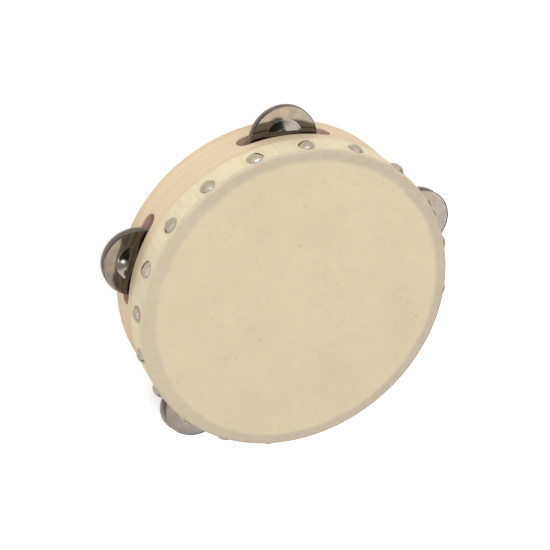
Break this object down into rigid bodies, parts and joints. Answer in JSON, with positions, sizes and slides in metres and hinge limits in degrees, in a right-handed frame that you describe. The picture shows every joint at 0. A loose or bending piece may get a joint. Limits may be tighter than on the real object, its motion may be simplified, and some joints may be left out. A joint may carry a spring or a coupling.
{
  "type": "tambourine",
  "caption": "Headed tambourine: a slotted wooden hoop with a tacked skin head and pairs of dished metal jingles loose on steel pins.",
  "frame": {"origin": "centre of the hoop's open rim, in the plane that the tambourine rests on", "axes": "+Z along the drum's axis, from the open rim to the head; +X through the first jingle slot"},
  "size_m": [0.2245, 0.2302, 0.052],
  "materials": {
    "hoop_wood": "sanded, unvarnished pale hardwood",
    "skin": "dry natural drum skin, matt",
    "tack_nickel": "bright nickel plate",
    "jingle_nickel": "bright nickel-plated sheet steel, pressed",
    "pin_steel": "drawn wire"
  },
  "bodies": {
    "frame": {"frame_hoop": "hoop_wood", "drum_head": "skin", "head_tacks": "tack_nickel", "jingle_pin_1": "pin_steel", "jingle_pin_2": "pin_steel", "jingle_pin_3": "pin_steel", "jingle_pin_4": "pin_steel", "jingle_pin_5": "pin_steel"},
    "front_jingle_1": {"jingle_front_1": "jingle_nickel"},
    "rear_jingle_1": {"jingle_rear_1": "jingle_nickel"},
    "front_jingle_2": {"jingle_front_2": "jingle_nickel"},
    "rear_jingle_2": {"jingle_rear_2": "jingle_nickel"},
    "front_jingle_3": {"jingle_front_3": "jingle_nickel"},
    "rear_jingle_3": {"jingle_rear_3": "jingle_nickel"},
    "front_jingle_4": {"jingle_front_4": "jingle_nickel"},
    "rear_jingle_4": {"jingle_rear_4": "jingle_nickel"},
    "front_jingle_5": {"jingle_front_5": "jingle_nickel"},
    "rear_jingle_5": {"jingle_rear_5": "jingle_nickel"}
  },
  "joints": [
    {"name": "front_jingle_1_slide", "type": "slide", "parent": "frame", "child": "front_jingle_1", "axis": [0, 0, 1], "range_m": [-0.0018, 0.0001]},
    {"name": "rear_jingle_1_slide", "type": "slide", "parent": "frame", "child": "rear_jingle_1", "axis": [0, 0, 1], "range_m": [-0.0025, 0.0018]},
    {"name": "front_jingle_2_slide", "type": "slide", "parent": "frame", "child": "front_jingle_2", "axis": [0, 0, 1], "range_m": [-0.0018, 0.0001]},
    {"name": "rear_jingle_2_slide", "type": "slide", "parent": "frame", "child": "rear_jingle_2", "axis": [0, 0, 1], "range_m": [-0.0025, 0.0018]},
    {"name": "front_jingle_3_slide", "type": "slide", "parent": "frame", "child": "front_jingle_3", "axis": [0, 0, 1], "range_m": [-0.0018, 0.0001]},
    {"name": "rear_jingle_3_slide", "type": "slide", "parent": "frame", "child": "rear_jingle_3", "axis": [0, 0, 1], "range_m": [-0.0025, 0.0018]},
    {"name": "front_jingle_4_slide", "type": "slide", "parent": "frame", "child": "front_jingle_4", "axis": [0, 0, 1], "range_m": [-0.0018, 0.0001]},
    {"name": "rear_jingle_4_slide", "type": "slide", "parent": "frame", "child": "rear_jingle_4", "axis": [0, 0, 1], "range_m": [-0.0025, 0.0018]},
    {"name": "front_jingle_5_slide", "type": "slide", "parent": "frame", "child": "front_jingle_5", "axis": [0, 0, 1], "range_m": [-0.0018, 0.0001]},
    {"name": "rear_jingle_5_slide", "type": "slide", "parent": "frame", "child": "rear_jingle_5", "axis": [0, 0, 1], "range_m": [-0.0025, 0.0018]}
  ]
}
